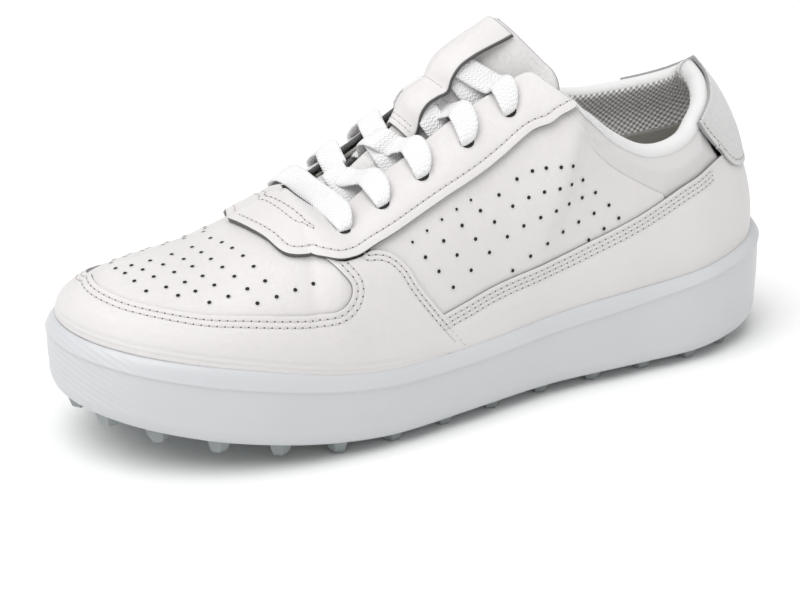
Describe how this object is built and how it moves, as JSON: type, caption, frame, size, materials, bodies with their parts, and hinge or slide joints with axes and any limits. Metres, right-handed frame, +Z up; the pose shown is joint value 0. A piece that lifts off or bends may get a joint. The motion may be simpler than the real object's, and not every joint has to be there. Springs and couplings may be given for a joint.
{
  "type": "golf shoe",
  "caption": "Left low-cut golf shoe: moulded cupsole with short traction lugs, stitched perforated leather upper, padded collar, tongue with keeper strap and one flat lace.",
  "frame": {"origin": "centre of the shoe's box on the ground, under the lug tips", "axes": "+X from heel to toe, +Y to the wearer's left (outer side of this left shoe), +Z up"},
  "size_m": [0.3, 0.11, 0.1401],
  "materials": {
    "leather": "smooth full-grain leather, satin finish",
    "sole_rubber": "moulded sole compound, smooth semi-matt",
    "outsole_rubber": "translucent outsole compound",
    "suede": "brushed suede nap",
    "mesh_lining": "knitted spacer mesh",
    "lining_leather": "smooth lining leather, matt",
    "lace_cotton": "flat woven lace",
    "aglet_film": "clear film",
    "foam": "closed-cell foam",
    "board": "fibre board",
    "insole_cloth": "cloth-covered footbed",
    "shank_steel": "spring steel"
  },
  "bodies": {
    "shoe": {"outsole": "outsole_rubber", "cupsole": "sole_rubber", "midsole_foam": "foam", "shank": "shank_steel", "strobel_board": "board", "toe_guard": "leather", "vamp": "leather", "eyestay": "leather", "side_panel_outer": "leather", "collar_panel_outer": "leather", "eyestay_backing_outer": "mesh_lining", "quarter_lining_outer": "lining_leather", "side_panel_inner": "leather", "collar_panel_inner": "leather", "eyestay_backing_inner": "mesh_lining", "quarter_lining_inner": "lining_leather", "heel_foxing": "leather", "heel_tab": "suede", "toe_puff": "board", "heel_counter": "board", "collar_foam": "foam", "collar_lining": "mesh_lining", "toe_lining": "lining_leather", "tongue_lower": "leather", "strap_lower": "leather", "lace": "lace_cotton", "aglet_outer": "aglet_film", "aglet_inner": "aglet_film"},
    "tongue_top": {"tongue_flap": "leather", "strap_upper": "leather"},
    "footbed": {"insole": "insole_cloth"}
  },
  "joints": [
    {"name": "tongue_flex", "type": "hinge", "parent": "shoe", "child": "tongue_top", "pos_m": [-0.0137, -0.001, 0.1254], "axis": [0, 1, 0], "range_deg": [-8, 10], "stiffness_Nm_per_rad": 0.15},
    {"name": "insole_lift", "type": "hinge", "parent": "shoe", "child": "footbed", "pos_m": [0.136, -0.003, 0.031], "axis": [0, 1, 0], "range_deg": [0, 6]}
  ]
}
